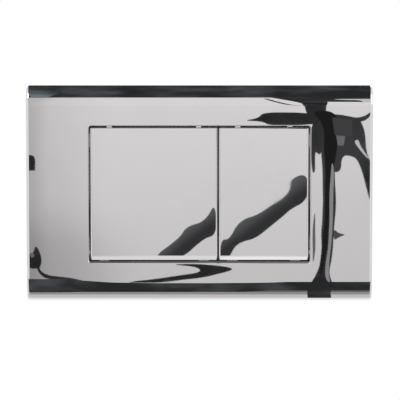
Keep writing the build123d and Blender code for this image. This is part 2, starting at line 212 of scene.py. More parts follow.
def paint(name, description, default):
    return bpy.props.FloatVectorProperty(
        name=name, description=description, subtype="COLOR", size=3, min=0, max=1, default=default
    )


def length(name, description, default):
    kind = {"subtype": "DISTANCE", "unit": "LENGTH", "min": 0, "precision": 5}
    return bpy.props.FloatProperty(name=name, description=description, default=default, **kind)


class FinishSettings(bpy.types.PropertyGroup):
    """Colours of the finishes, and how true the plated faces are."""

    chrome: paint("Chrome", "The cover's plating as it reflects white", (0.667, 0.647, 0.654))
    button_chrome: paint("Button chrome", "The buttons' plating, as above", (0.697, 0.676, 0.683))
    dull_plating: paint("Dull plating", "The thin plating behind the front", (0.46, 0.46, 0.465))
    frame_plastic: paint("Frame plastic", "The mounting frame's moulding", (0.27, 0.275, 0.285))
    plunger_plastic: paint("Plunger plastic", "The plungers and the tips", (0.70, 0.69, 0.64))
    zinc: paint("Zinc", "The plated bolts, rods, nuts and pins", (0.36, 0.365, 0.37))
    spring_wire: paint("Spring wire", "The drawn wire of the springs", (0.42, 0.42, 0.43))
    rubber: paint("Rubber", "The stop buffers", (0.022, 0.022, 0.023))
    strip_rubber: paint("Strip rubber", "The strip in the gap under the buttons", (0.1, 0.1, 0.102))
    wave_depth: length("Wave depth", "How far the plated faces rise and fall from flat", 0.00012)


class PieceSettings(bpy.types.PropertyGroup):
    """Sizes of the rounded edges, marks, strip, bolts, rods, tips and springs."""

    plated_edge: length("Plated edge", "Rounding of the cover's and buttons' edges", 0.00018)
    button_round: length("Button round", "Rounding of the edges of the buttons' fronts", 0.00045)
    moulded_edge: length("Moulded edge", "Rounding of the plastic and rubber edges", 0.0002)
    mark_radius: length("Mark radius", "Radius of the ejector pins' marks on the frame", 0.0028)
    mark_depth: length("Mark depth", "Depth of the ejector pins' marks", 0.0005)
    window_drop: length("Window drop", "From the plate's middle to the window's bottom wall", 0.0515)
    strip_setback: length("Strip setback", "From the plate's front back to the quiet strip", 0.0011)
    strip_height: length("Strip height", "How far the quiet strip stands up in the gap", 0.0012)
    pin_round: length("Pin round", "Rounding of the hinge pins' ends", 0.0003)
    bolt_radius: length("Bolt radius", "Outer radius of the bolts' thread", 0.004)
    bolt_pitch: length("Bolt pitch", "Between the turns of the bolts' thread", 0.00125)
    shank_radius: length("Shank radius", "Radius of the bolts' plain shank", 0.0032)
    head_flats: length("Head flats", "Across the flats of the bolts' heads", 0.011)
    head_height: length("Head height", "Height of the bolts' hexagon", 0.0028)
    flange_height: length("Flange height", "Thickness of the bolts' flange", 0.0016)
    flange_round: length("Flange round", "Rounding of the bolts' flange", 0.0009)
    shank_end: length("Shank end", "Where the bolts' thread starts behind the wall's face", 0.004)
    rod_pitch: length("Rod pitch", "Between the turns of the rods' thread", 0.001)
    tip_round: length("Tip round", "Rounding of the push tips' ends", 0.0016)
    flute_start: length("Flute start", "From a push tip's start to its flutes", 0.0012)
    flute_end: length("Flute end", "From a push tip's start to the end of its flutes", 0.0068)
    flute_inset: length("Flute inset", "The land beside each flute", 0.0002)
    flute_depth: length("Flute depth", "Depth of the flutes", 0.0003)
    spring_wire: length("Spring wire", "Thickness of the spring wire", 0.0009)
    spring_turns: bpy.props.IntProperty(
        name="Spring turns", description="Open turns between the closed end turns", min=1, default=3
    )


class StageSettings(bpy.types.PropertyGroup):
    """The camera and the floor."""

    camera_distance: length("Camera distance", "From the camera to the plate", 1.74)
    camera_height: bpy.props.FloatProperty(
        name="Camera height", description="Angle of the camera above level", subtype="ANGLE",
        unit="ROTATION", default=math.radians(5),
    )
    camera_lens: bpy.props.FloatProperty(
        name="Camera lens", description="Focal length in millimetres", unit="CAMERA", default=208.7
    )
    floor_drop: length("Floor drop", "From the middle of the plate down to the floor", 0.3)


def leave_edit():
    bpy.ops.object.mode_set(mode="OBJECT")


def deselect():
    """Goes back to object mode with nothing selected."""
    if bpy.context.mode != "OBJECT":
        leave_edit()
    bpy.ops.object.select_all(action="DESELECT")


def activate(piece):
    deselect()
    piece.select_set(True)
    bpy.context.view_layer.objects.active = piece


def edit_all(piece):
    """Opens a piece in edit mode with all of it selected."""
    activate(piece)
    bpy.ops.object.mode_set(mode="EDIT")
    bpy.ops.mesh.select_mode(type="VERT")
    bpy.ops.mesh.select_all(action="SELECT")


def pick(piece, kind, parts, test):
    """Opens a piece in edit mode with the points, edges or faces selected that pass the test."""
    edit_all(piece)
    bpy.ops.mesh.select_mode(type=kind)
    bpy.ops.mesh.select_all(action="DESELECT")
    leave_edit()
    for part in getattr(piece.data, parts):
        part.select = test(part)
    bpy.ops.object.mode_set(mode="EDIT")


def pick_points(piece, test):
    """Picks the points whose place passes the test."""
    pick(piece, "VERT", "vertices", lambda point: test(point.co))


def pick_edges(piece, test):
    """Picks the edges whose middle passes the test."""

    def centre_passes(edge):
        first, second = (piece.data.vertices[index].co for index in edge.vertices)
        return test((first + second) / 2)

    pick(piece, "EDGE", "edges", centre_passes)


def pick_faces(piece, test):
    """Picks the faces whose middle and normal pass the test."""
    pick(piece, "FACE", "polygons", lambda face: test(face.center, face.normal))


def apply_modifier(piece, kind, **values):
    """Adds a modifier with these values and applies it."""
    activate(piece)
    modifier = piece.modifiers.new(kind.title(), kind)
    for name, value in values.items():
        setattr(modifier, name, value)
    bpy.ops.object.modifier_apply(modifier=modifier.name)


def primitive(add, name, **values):
    """Adds a primitive with these values, and puts its place into its mesh."""
    deselect()
    add(**values)
    piece = bpy.context.object
    piece.name = name
    piece.data.name = name
    bpy.ops.object.transform_apply()
    return piece


def cylinder(name, place, start, end, radius, sides):
    """A cylinder along Y round the place (x, z). A hexagon has a corner at each side."""
    return primitive(
        bpy.ops.mesh.primitive_cylinder_add, name, vertices=sides, radius=radius, depth=end - start,
        location=(place[0], (start + end) / 2, place[1]), rotation=(math.pi / 2, math.pi / 6, 0),
    )


def bevel_rim(piece, depth, offset, segments=1):
    """Bevels the edge round a cylinder's end at this depth."""
    pick_points(piece, lambda point: abs(point.y - depth) < SAME_POINT)
    bpy.ops.mesh.bevel(offset=offset, segments=segments, affect="EDGES")
    leave_edit()


def combine(piece, tool, operation):
    """Adds another solid to a piece, cuts it away or keeps what they share, and deletes it."""
    apply_modifier(piece, "BOOLEAN", operation=operation, object=tool, solver="EXACT")
    activate(tool)
    bpy.ops.object.delete()


def join(name, *pieces):
    activate(pieces[0])
    for piece in pieces:
        piece.select_set(True)
    bpy.ops.object.join()
    pieces[0].name = name
    return pieces[0]


def close(piece, angle=30):
    """Merges the doubles, closes the open ends, turns the faces outwards and shades the piece."""
    edit_all(piece)
    bpy.ops.mesh.remove_doubles(threshold=MERGE_REACH)
    bpy.ops.mesh.fill_holes(sides=0)
    bpy.ops.mesh.select_all(action="SELECT")
    bpy.ops.mesh.normals_make_consistent()
    leave_edit()
    bpy.ops.object.shade_smooth_by_angle(angle=math.radians(angle))


def copy_beside(piece, name, shift):
    """A copy with its own mesh, moved along X."""
    activate(piece)
    bpy.ops.object.duplicate()
    twin = bpy.context.object
    twin.name = name
    edit_all(twin)
    bpy.ops.transform.translate(value=(shift, 0, 0))
    leave_edit()
    return twin


def flush_pair(piece, kind, node):
    """The full flush's piece, and its copy at the half flush's node, by flush."""
    full, half = (middle(f"{flush}_{node}")[0][0] for flush in FLUSHES)
    return zip(FLUSHES, (piece, copy_beside(piece, "half_flush_" + kind, half - full)))


def add_object(name, data):
    piece = bpy.data.objects.new(name, data)
    bpy.context.collection.objects.link(piece)
    return piece


def merged_copy(node, name):
    """A copy of a CAD node with its loose triangles joined."""
    piece = add_object(name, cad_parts[node].data.copy())
    activate(piece)
    bpy.ops.mesh.customdata_custom_splitnormals_clear()
    edit_all(piece)
    bpy.ops.mesh.remove_doubles(threshold=SAME_POINT)
    leave_edit()
    return piece


def ease(piece, width):
    """Rounds a piece's sharp edges, and keeps the large flat faces beside them flat."""
    edit_all(piece)
    bpy.ops.mesh.tris_convert_to_quads(face_threshold=FLAT_ANGLE, shape_threshold=QUAD_ANGLE)
    leave_edit()
    bpy.ops.object.shade_smooth()
    apply_modifier(
        piece, "BEVEL", width=width, segments=2, limit_method="ANGLE", angle_limit=SHARP_ANGLE,
        use_clamp_overlap=False, harden_normals=True,
    )
    edit_all(piece)
    bpy.ops.mesh.remove_doubles(threshold=MERGE_REACH)
    leave_edit()
    apply_modifier(piece, "WEIGHTED_NORMAL", keep_sharp=True, weight=100)


def eased_copy(node, name, width):
    piece = merged_copy(node, name)
    ease(piece, width)
    return piece


def settle(piece, body, slot, finish, *nodes):
    """Gives a piece its finish, the body it rides on and the nodes it stands for. The record slot it is
    given is not used.
    """
    piece.data.materials.clear()
    piece.data.materials.append(finish_of(finish))
    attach(piece, body)
    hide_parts(*nodes)


def dull_faces(piece, test):
    """Gives the faces that pass the test the dull plating as a second material."""
    piece.data.materials.append(finish_of("dull"))
    pick_faces(piece, test)
    piece.active_material_index = 1
    bpy.ops.object.material_slot_assign()
    leave_edit()


def middle(node):
    """A node's middle in X and Z, and where it starts and ends in Y."""
    low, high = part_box(node)
    return ((low[0] + high[0]) / 2, (low[2] + high[2]) / 2), low[1], high[1]


def half_width(node):
    low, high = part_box(node)
    return (high[0] - low[0]) / 2


def feed(tree, socket, value):
    """Sets a socket to a value, or links it to another node's output."""
    if isinstance(value, bpy.types.NodeSocket):
        tree.links.new(value, socket)
    else:
        socket.default_value = value


def add_node(tree, kind, **values):
    """A node with these values. A name that the node doesn't have is one of its sockets."""
    node = tree.nodes.new(kind)
    for name, value in values.items():
        if hasattr(node, name):
            setattr(node, name, value)
        else:
            feed(tree, node.inputs[name.replace("_", " ")], value)
    return node


def own_place(tree):
    """A place in the piece's own coordinates."""
    return add_node(tree, "ShaderNodeTexCoord").outputs["Object"]


def noise(tree, scale, detail, roughness=0.5, place=None):
    """Noise on the piece's own coordinates, or at a place."""
    texture = add_node(tree, "ShaderNodeTexNoise", Scale=scale, Detail=detail, Roughness=roughness)
    feed(tree, texture.inputs["Vector"], place or own_place(tree))
    return texture.outputs["Fac"]


def spread(tree, source, low, high, first=0.0, last=1.0):
    """Maps the stretch from low to high of a value onto first to last."""
    ramp = add_node(tree, "ShaderNodeMapRange", interpolation_type="SMOOTHSTEP", Value=source)
    for name, value in (("From Min", low), ("From Max", high), ("To Min", first), ("To Max", last)):
        feed(tree, ramp.inputs[name], value)
    return ramp.outputs["Result"]


def chain(tree, operation, *values):
    """The values worked together by one operation, from the first to the last."""
    total = values[0]
    for value in values[1:]:
        step = add_node(tree, "ShaderNodeMath", operation=operation)
        feed(tree, step.inputs[0], total)
        feed(tree, step.inputs[1], value)
        total = step.outputs[0]
    return total


def blend(tree, mask, first, second):
    """A colour that goes from the first to the second as the mask goes from 0 to 1."""
    mix = add_node(tree, "ShaderNodeMix", data_type="RGBA", Factor=mask)
    feed(tree, mix.inputs[6], (*first, 1))
    feed(tree, mix.inputs[7], (*second, 1))
    return mix.outputs[2]


def mix_shaders(tree, mask, first, second):
    """A shader that goes from the first to the second as the mask goes from 0 to 1."""
    mix = add_node(tree, "ShaderNodeMixShader", Fac=mask)
    feed(tree, mix.inputs[1], first.outputs[0])
    feed(tree, mix.inputs[2], second.outputs[0])
    return mix


def shade(colour, factor, tint=WHITE):
    """A colour made darker or paler by a factor, and tinted."""
    return tuple(min(1, channel * share * factor) for channel, share in zip(colour, tint))


def effect_group(name, given, made):
    """A shader group with these number sockets, and what it is given."""
    tree = bpy.data.node_groups.new(name, "ShaderNodeTree")
    for socket, default in given.items():
        entry = tree.interface.new_socket(socket, in_out="INPUT", socket_type="NodeSocketFloat")
        entry.default_value = default
    for socket in made:
        tree.interface.new_socket(socket, in_out="OUTPUT", socket_type="NodeSocketFloat")
    return tree, add_node(tree, "NodeGroupInput").outputs


def moulded_grain():
    """The spark-eroded skin of a moulding: a fine grain, with cloudy flow marks in tone and gloss."""
    if "Moulded grain" in bpy.data.node_groups:
        return bpy.data.node_groups["Moulded grain"]
    tree, given = effect_group("Moulded grain", {"Grain": 1400.0}, ("Height", "Flow", "Gloss"))
    grain = noise(tree, given["Grain"], detail=2, roughness=0.6)
    flow = spread(tree, noise(tree, scale=28, detail=3), low=0.35, high=0.65)
    gloss = spread(tree, noise(tree, scale=75, detail=4, roughness=0.6), low=0.35, high=0.7)
    add_node(tree, "NodeGroupOutput", Height=grain, Flow=flow, Gloss=gloss)
    return tree


def handled_metal():
    """Marks on bare and plated metal: soft smudges, a cloudy tone and fine drawn lines along Y."""
    if "Handled metal" in bpy.data.node_groups:
        return bpy.data.node_groups["Handled metal"]
    tree, given = effect_group("Handled metal", {"Smudge": 30.0}, ("Smudge", "Cloud", "Lines"))
    smudge = spread(tree, noise(tree, given["Smudge"], detail=5, roughness=0.62), low=0.48, high=0.78)
    cloud = spread(tree, noise(tree, scale=140, detail=3), low=0.35, high=0.65)
    stretch = add_node(tree, "ShaderNodeMapping", Vector=own_place(tree), Scale=(1, 0.03, 1))
    lines = noise(tree, scale=3000, detail=2, place=stretch.outputs["Vector"])
    add_node(tree, "NodeGroupOutput", Smudge=smudge, Cloud=cloud, Lines=lines)
    return tree


def new_material(name):
    material = bpy.data.materials.new(name)
    material.use_nodes = True
    return material, material.node_tree, material.node_tree.nodes["Principled BSDF"]


def bump(tree, shader, height, depth):
    node = add_node(tree, "ShaderNodeBump", Strength=1, Distance=depth, Height=height)
    feed(tree, shader.inputs["Normal"], node.outputs["Normal"])


def coat(tree, shader, tone, colours, gloss, roughness):
    """Goes between two colours with the tone, and between two roughnesses with the gloss."""
    feed(tree, shader.inputs["Base Color"], blend(tree, tone, *colours))
    feed(tree, shader.inputs["Roughness"], spread(tree, gloss, 0, 1, *roughness))


def metal_material(name, smudge):
    """Metal, with the marks of handling for its coat."""
    material, tree, shader = new_material(name)
    feed(tree, shader.inputs["Metallic"], 1)
    marks = add_node(tree, "ShaderNodeGroup", node_tree=handled_metal(), Smudge=smudge)
    return material, tree, shader, marks.outputs


def chrome_material(name, colour):
    """Bright plating over a moulding that is not quite flat, with the faintest smudges."""
    material, tree, shader, marks = metal_material(name, smudge=24)
    colours = (colour, shade(colour, factor=0.975))
    coat(tree, shader, marks["Smudge"], colours, marks["Smudge"], roughness=(0.012, 0.026))
    waves = noise(tree, scale=15, detail=2, roughness=0.3)
    bump(tree, shader, waves, bpy.context.scene.flush_finish.wave_depth)
    return material


def steel_material(name, colour, factor, roughness, depth, tint=WHITE, smudge=90):
    """Thinly plated or drawn metal in two tones, with lines along the length where these have a depth."""
    material, tree, shader, marks = metal_material(name, smudge)
    coat(tree, shader, marks["Cloud"], (colour, shade(colour, factor, tint)), marks["Smudge"], roughness)
    if depth:
        bump(tree, shader, marks["Lines"], depth)
    return material


def moulded_material(name, colour, factor, roughness, depth, grain):
    """Plastic or rubber with the grain of its mould."""
    material, tree, shader = new_material(name)
    skin = add_node(tree, "ShaderNodeGroup", node_tree=moulded_grain(), Grain=grain).outputs
    coat(tree, shader, skin["Flow"], (colour, shade(colour, factor)), skin["Gloss"], roughness)
    bump(tree, shader, skin["Height"], depth)
    return material


# A finish's material, what makes it and its colour setting. All but chrome also have the factor to a second
# tone, two roughnesses and the depth of the lines or grain. Mouldings add the scale of their grain, and
# metals may add the second tone's tint and the scale of the smudges
FINISHES = {
    "chrome": ("Bright chrome", chrome_material, "chrome"),
    "button": ("Button chrome", chrome_material, "button_chrome"),
    "dull": ("Dull plating", steel_material, "dull_plating", 0.94, (0.44, 0.5), 0, WHITE, 60),
    "zinc": ("Zinc plating", steel_material, "zinc", 0.93, (0.26, 0.42), 0.000004, (1, 0.98, 0.93)),
    "wire": ("Spring wire", steel_material, "spring_wire", 0.7, (0.24, 0.4), 0.000003),
    "frame": ("Frame plastic", moulded_material, "frame_plastic", 0.92, (0.46, 0.6), 0.00006, 1500),
    "plunger": ("Plunger plastic", moulded_material, "plunger_plastic", 0.9, (0.34, 0.48), 0.00002, 900),
    "strip": ("Strip rubber", moulded_material, "strip_rubber", 0.75, (0.7, 0.84), 0.00005, 1800),
    "rubber": ("Buffer rubber", moulded_material, "rubber", 1.9, (0.66, 0.8), 0.00005, 2200),
}


def finish_of(finish):
    """The material of a finish, made when it is first asked for."""
    name, make, setting, *values = FINISHES[finish]
    colour = getattr(bpy.context.scene.flush_finish, setting)
    return bpy.data.materials.get(name) or make(name, colour, *values)


class FLUSH_OT_cover_plate(bpy.types.Operator):
    """The chrome cover with its rolled edges, window, skirt, lugs and hooks"""

    bl_idname = "flush.cover_plate"
    bl_label = "Cover plate"

    def execute(self, context):
        def dull(centre, normal):
            beside = WINDOW_SIDE[0] < abs(centre.x) < WINDOW_SIDE[1] and abs(centre.z) < WINDOW_SIDE_REACH
            return beside or normal.y > FACING_BACK

        cover = eased_copy("cover_plate", "cover", context.scene.flush_pieces.plated_edge)
        settle(cover, "plate", "chrome_plating", "chrome", "cover_plate")
        dull_faces(cover, dull)
        return {"FINISHED"}


class FLUSH_OT_buttons(bpy.types.Operator):
    """The wide and the narrow button, bright in front and dull behind"""

    bl_idname = "flush.buttons"
    bl_label = "Buttons"

    def execute(self, context):
        sizes = context.scene.flush_pieces
        for flush in FLUSHES:
            node = flush + "_button"
            cap = merged_copy(node, flush + "_cap")
            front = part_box(node)[0][1] + ON_PLANE
            pick_points(cap, lambda point: point.y < front)
            bpy.ops.mesh.dissolve_limited(angle_limit=FLAT_ANGLE)
            pick_edges(cap, lambda centre: centre.y < front and centre.z < BUTTON_HINGE)
            bpy.ops.mesh.bevel(offset=sizes.button_round, segments=4, affect="EDGES")
            ease(cap, sizes.plated_edge)
            settle(cap, node, "chrome_plating", "button", node)
            dull_faces(cap, lambda centre, normal: centre.y > BUTTON_DULL or normal.y > FACING_BACK)
        return {"FINISHED"}


class FLUSH_OT_mounting_frame(bpy.types.Operator):
    """The moulded frame with the marks that its ejector pins leave"""

    bl_idname = "flush.mounting_frame"
    bl_label = "Mounting frame"

    def execute(self, context):
        sizes = context.scene.flush_pieces
        body = merged_copy("mounting_frame", "wall_frame")
        marks = [
            cylinder("mark", place, face - sizes.mark_depth, face + CUT_REACH, sizes.mark_radius, sides=24)
            for face, places in EJECTOR_MARKS
            for place in places
        ]
        combine(body, join("marks", *marks), "DIFFERENCE")
        ease(body, sizes.moulded_edge)
        settle(body, "plate", "frame_plastic", "frame", "mounting_frame")
        return {"FINISHED"}


class FLUSH_OT_stop_buffers(bpy.types.Operator):
    """The rubber caps that end a press"""

    bl_idname = "flush.stop_buffers"
    bl_label = "Stop buffers"

    def execute(self, context):
        for flush in FLUSHES:
            for side in SIDES:
                node = f"{flush}_stop_buffer_{side}"
                pad = eased_copy(node, f"{flush}_pad_{side}", context.scene.flush_pieces.moulded_edge)
                settle(pad, "plate", "buffer_rubber", "rubber", node)
        return {"FINISHED"}


class FLUSH_OT_quiet_strip(bpy.types.Operator):
    """The strip along the bottom of the window that keeps the buttons from rattling"""

    bl_idname = "flush.quiet_strip"
    bl_label = "Quiet strip"

    def execute(self, context):
        sizes = context.scene.flush_pieces
        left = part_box("full_flush_button")[0][0]
        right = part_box("half_flush_button")[1][0]
        start = PLATE_FRONT + sizes.strip_setback
        foot = -sizes.window_drop
        half = sizes.strip_height / 2
        centre = ((left + right) / 2, start + half, foot + half)
        spans = (right - left, sizes.strip_height, sizes.strip_height)
        strip = primitive(
            bpy.ops.mesh.primitive_cube_add, "quiet_strip", size=1, location=centre, scale=spans
        )
        pick_points(strip, lambda point: point.z > centre[2])
        bpy.ops.mesh.bevel(offset=sizes.strip_height / 3, segments=3, affect="EDGES")
        close(strip)
        settle(strip, "plate", "buffer_rubber", "strip")
        return {"FINISHED"}


class FLUSH_OT_hinge_pins(bpy.types.Operator):
    """The steel pins that the buttons turn on"""

    bl_idname = "flush.hinge_pins"
    bl_label = "Hinge pins"

    def execute(self, context):
        for flush in FLUSHES:
            for side in SIDES:
                node = f"{flush}_hinge_pin_{side}"
                low, high = (Vector(corner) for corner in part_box(node))
                span = high - low
                pin = primitive(
                    bpy.ops.mesh.primitive_cylinder_add, f"{flush}_pin_{side}", vertices=32,
                    radius=span.z / 2, depth=span.x, location=(low + high) / 2,
                    rotation=(0, math.pi / 2, 0),
                )
                pick_faces(pin, lambda centre, normal: abs(normal.x) > ALONG)
                bpy.ops.mesh.bevel(offset=context.scene.flush_pieces.pin_round, segments=2, affect="EDGES")
                close(pin)
                settle(pin, "plate", "plated_steel", "zinc", node)
        return {"FINISHED"}


class FLUSH_OT_plungers(bpy.types.Operator):
    """The plungers that the buttons push in"""

    bl_idname = "flush.plungers"
    bl_label = "Plungers"

    def execute(self, context):
        for flush in FLUSHES:
            node = flush + "_plunger"
            stem = eased_copy(node, flush + "_stem", context.scene.flush_pieces.moulded_edge)
            settle(stem, node, "plunger_plastic", "plunger", node)
        return {"FINISHED"}


def thread(name, place, start, end, radius, pitch, steps):
    """A threaded rod along Y, cut square, with a lead-in at its far end."""
    depth = THREAD_DEPTH * pitch
    rod = primitive(bpy.ops.mesh.primitive_circle_add, name, vertices=6, radius=1)
    pick_points(rod, lambda point: point.x < -ACROSS)
    bpy.ops.mesh.delete(type="VERT")
    pick_points(rod, lambda point: point.x > ACROSS)
    bpy.ops.transform.resize(value=(1, THREAD_CREST, 1), center_override=(0, 0, 0))
    edit_all(rod)
    bpy.ops.transform.resize(value=(depth / HEXAGON_REACH, pitch / 2, 1), center_override=(0, 0, 0))
    bpy.ops.transform.translate(value=(radius - depth, start - pitch, 0))
    turns = math.ceil((end - start) / pitch) + 2
    apply_modifier(
        rod, "SCREW", axis="Y", screw_offset=pitch, iterations=turns, steps=steps, render_steps=steps,
        use_merge_vertices=True, merge_threshold=SAME_POINT,
    )
    edit_all(rod)
    bpy.ops.mesh.remove_doubles(threshold=SAME_POINT)
    bpy.ops.mesh.bisect(plane_co=(0, start, 0), plane_no=(0, 1, 0), use_fill=True, clear_inner=True)
    bpy.ops.mesh.select_all(action="SELECT")
    bpy.ops.mesh.bisect(plane_co=(0, end, 0), plane_no=(0, 1, 0), use_fill=True, clear_outer=True)
    for reach, share in LEAD_IN:
        pick_points(rod, lambda point: point.y > end - reach * pitch)
        bpy.ops.transform.resize(value=(share, 1, share), center_override=(0, end, 0))
    edit_all(rod)
    bpy.ops.transform.translate(value=(place[0], 0, place[1]))
    close(rod)
    return rod


def hexagon(name, place, start, end, flats, both_ends):
    """A hexagon along Y whose corners are turned off at its start, or at both ends."""
    corner = flats / math.sqrt(3)
    blank = corner * BLANK_SHARE
    chamfer = blank - corner + (corner - flats / 2) * CHAMFER_SHARE
    piece = cylinder(name, place, start, end, corner, sides=6)
    turned = cylinder("turned", place, start, end, blank, sides=48)
    bevel_rim(turned, start, chamfer)
    if both_ends:
        bevel_rim(turned, end, chamfer)
    combine(piece, turned, "INTERSECT")
    return piece


class FLUSH_OT_fixing_bolts(bpy.types.Operator):
    """The two flanged bolts with their threads"""

    bl_idname = "flush.fixing_bolts"
    bl_label = "Fixing bolts"

    def execute(self, context):
        sizes = context.scene.flush_pieces
        place, start, end = middle("fixing_bolt_left")
        flange = start + sizes.head_height
        seat = flange + sizes.flange_height
        bolt = hexagon("bolt_left", place, start, flange + JOIN_REACH, sizes.head_flats, False)
        washer = cylinder("washer", place, flange, seat, half_width("fixing_bolt_left"), sides=48)
        bevel_rim(washer, flange, sizes.flange_round, segments=3)
        shank_end = sizes.shank_end + JOIN_REACH
        shank = cylinder("shank", place, seat - JOIN_REACH, shank_end, sizes.shank_radius, sides=32)
        ridge = thread("ridge", place, sizes.shank_end, end, sizes.bolt_radius, sizes.bolt_pitch, steps=24)
        for solid in (washer, shank, ridge):
            combine(bolt, solid, "UNION")
        close(bolt)
        twin = copy_beside(bolt, "bolt_right", middle("fixing_bolt_right")[0][0] - place[0])
        for side, piece in zip(SIDES, (bolt, twin)):
            settle(piece, "plate", "plated_steel", "zinc", "fixing_bolt_" + side)
        return {"FINISHED"}


class FLUSH_OT_push_rods(bpy.types.Operator):
    """The threaded rods and the nuts that lock them"""

    bl_idname = "flush.push_rods"
    bl_label = "Push rods"

    def execute(self, context):
        place, start, end = middle("full_flush_push_rod")
        radius = half_width("full_flush_push_rod")
        pitch = context.scene.flush_pieces.rod_pitch
        rod = thread("full_flush_rod", place, start, end, radius, pitch, steps=20)
        low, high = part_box("full_flush_lock_nut")
        nut = hexagon("full_flush_nut", place, low[1], high[1], high[2] - low[2], True)
        past = (low[1] - CUT_REACH, high[1] + CUT_REACH)
        bore = cylinder("bore", place, *past, radius * BORE_SHARE, sides=40)
        combine(nut, bore, "DIFFERENCE")
        close(nut)
        for kind, piece, node in (("rod", rod, "push_rod"), ("nut", nut, "lock_nut")):
            for flush, copy in flush_pair(piece, kind, "push_rod"):
                settle(copy, flush + "_plunger", "plated_steel", "zinc", f"{flush}_{node}")
        return {"FINISHED"}


class FLUSH_OT_push_tips(bpy.types.Operator):
    """The ribbed caps on the ends of the rods"""

    bl_idname = "flush.push_tips"
    bl_label = "Push tips"

    def execute(self, context):
        sizes = context.scene.flush_pieces
        place, start, end = middle("full_flush_push_tip")
        radius = half_width("full_flush_push_tip")
        bore = half_width("full_flush_push_rod") * BORE_SHARE
        depth = middle("full_flush_push_rod")[2] - start
        first = start + sizes.flute_start
        last = start + sizes.flute_end
        tip = cylinder("full_flush_tip", place, start, end, radius, TIP_SIDES)
        bevel_rim(tip, end, sizes.tip_round, segments=4)
        for cut in (first, last):
            edit_all(tip)
            bpy.ops.mesh.bisect(plane_co=(0, cut, 0), plane_no=(0, 1, 0))

        def flute(centre, normal):
            turn = round(math.atan2(normal.z, normal.x) / (2 * math.pi) * TIP_SIDES - 0.5)
            return first < centre.y < last and abs(normal.y) < ACROSS and turn % 2 == 0

        pick_faces(tip, flute)
        bpy.ops.mesh.inset(thickness=sizes.flute_inset, depth=-sizes.flute_depth, use_individual=True)
        pick_faces(tip, lambda centre, normal: normal.y < -ALONG)
        bpy.ops.mesh.inset(thickness=radius - bore)
        bpy.ops.mesh.extrude_region_move(TRANSFORM_OT_translate={"value": (0, depth, 0)})
        close(tip)
        for flush, piece in flush_pair(tip, "tip", "push_tip"):
            settle(piece, flush + "_plunger", "plunger_plastic", "plunger", flush + "_push_tip")
        return {"FINISHED"}


def coil(place, radius, wire, start, pitch, turns):
    """Round wire swept through whole turns about Y."""
    section = {"vertices": 12, "radius": wire / 2, "location": (radius, start, 0)}
    piece = primitive(bpy.ops.mesh.primitive_circle_add, "coil", **section)
    apply_modifier(
        piece, "SCREW", axis="Y", screw_offset=pitch, iterations=turns, steps=COIL_STEPS,
        render_steps=COIL_STEPS,
    )
    edit_all(piece)
    bpy.ops.transform.translate(value=(place[0], 0, place[1]))
    leave_edit()
    return piece


class FLUSH_OT_return_springs(bpy.types.Operator):
    """The coil springs, closed at both ends"""

    bl_idname = "flush.return_springs"
    bl_label = "Return springs"

    def execute(self, context):
        sizes = context.scene.flush_pieces
        wire = sizes.spring_wire
        place = middle("full_flush_push_rod")[0]
        start, end = middle("full_flush_return_spring")[1:]
        radius = half_width("full_flush_return_spring") - wire / 2
        closed = wire * CLOSED_RISE
        first = start + wire / 2
        last = end - wire / 2
        pitch = (last - first - 2 * closed) / sizes.spring_turns
        spring = join(
            "full_flush_spring",
            coil(place, radius, wire, first, closed, 1),
            coil(place, radius, wire, first + closed, pitch, sizes.spring_turns),
            coil(place, radius, wire, last - closed, closed, 1),
        )
        close(spring, angle=60)
        for flush, piece in flush_pair(spring, "spring", "push_rod"):
            settle(piece, "plate", "spring_steel", "wire", flush + "_return_spring")
            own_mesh(piece)
        return {"FINISHED"}


class FLUSH_OT_stage(bpy.types.Operator):
    """The floor, world, lamps, cards, dark flags and camera"""

    bl_idname = "flush.stage"
    bl_label = "Stage"

    def execute(self, context):
        scene = context.scene
        make_world(scene)
        make_floor(scene.flush_stage)
        make_lamps()
        camera = make_camera(scene, scene.flush_stage)
        make_cards()
        make_flags(camera)
        scene.view_settings.view_transform = "Standard"
        return {"FINISHED"}


def seen_directly(tree):
    """1 where the camera, a reflection or a see-through ray looks, and 0 elsewhere."""
    path = add_node(tree, "ShaderNodeLightPath")
    rays = ("Is Camera Ray", "Is Glossy Ray", "Is Transmission Ray")
    return chain(tree, "MAXIMUM", *(path.outputs[ray] for ray in rays))


def make_world(scene):
    world = bpy.data.worlds.new("White studio")
    scene.world = world
    world.use_nodes = True
    tree = world.node_tree
    tree.nodes.clear()
    lit = add_node(tree, "ShaderNodeBackground", Color=(*COOL_TINT, 1), Strength=0.55)
    white = add_node(tree, "ShaderNodeBackground", Color=(*WHITE, 1), Strength=1)
    both = mix_shaders(tree, seen_directly(tree), lit, white)
    add_node(tree, "ShaderNodeOutputWorld", Surface=both.outputs[0])


def make_floor(sizes):
    """A pale floor that is white all round, keeps a soft shadow near the plate and is clear from below."""
    drop = (0, 0, -sizes.floor_drop)
    floor = primitive(bpy.ops.mesh.primitive_plane_add, "floor", size=8, location=drop)
    material, tree, shader = new_material("Pale floor")
    feed(tree, shader.inputs["Base Color"], (0.9, 0.9, 0.9, 1))
    feed(tree, shader.inputs["Roughness"], 0.8)
    reach = add_node(tree, "ShaderNodeVectorMath", operation="LENGTH", Vector=own_place(tree))
    bright = spread(tree, reach.outputs["Value"], low=0.35, high=1.1, first=0.92, last=1)
    share = chain(tree, "MULTIPLY", bright, seen_directly(tree))
    glow = add_node(tree, "ShaderNodeEmission", Color=(*WHITE, 1), Strength=1)
    above = mix_shaders(tree, share, shader, glow)
    below = add_node(tree, "ShaderNodeNewGeometry").outputs["Backfacing"]
    both = mix_shaders(tree, below, above, add_node(tree, "ShaderNodeBsdfTransparent"))
    feed(tree, tree.nodes["Material Output"].inputs["Surface"], both.outputs[0])
    floor.data.materials.append(material)


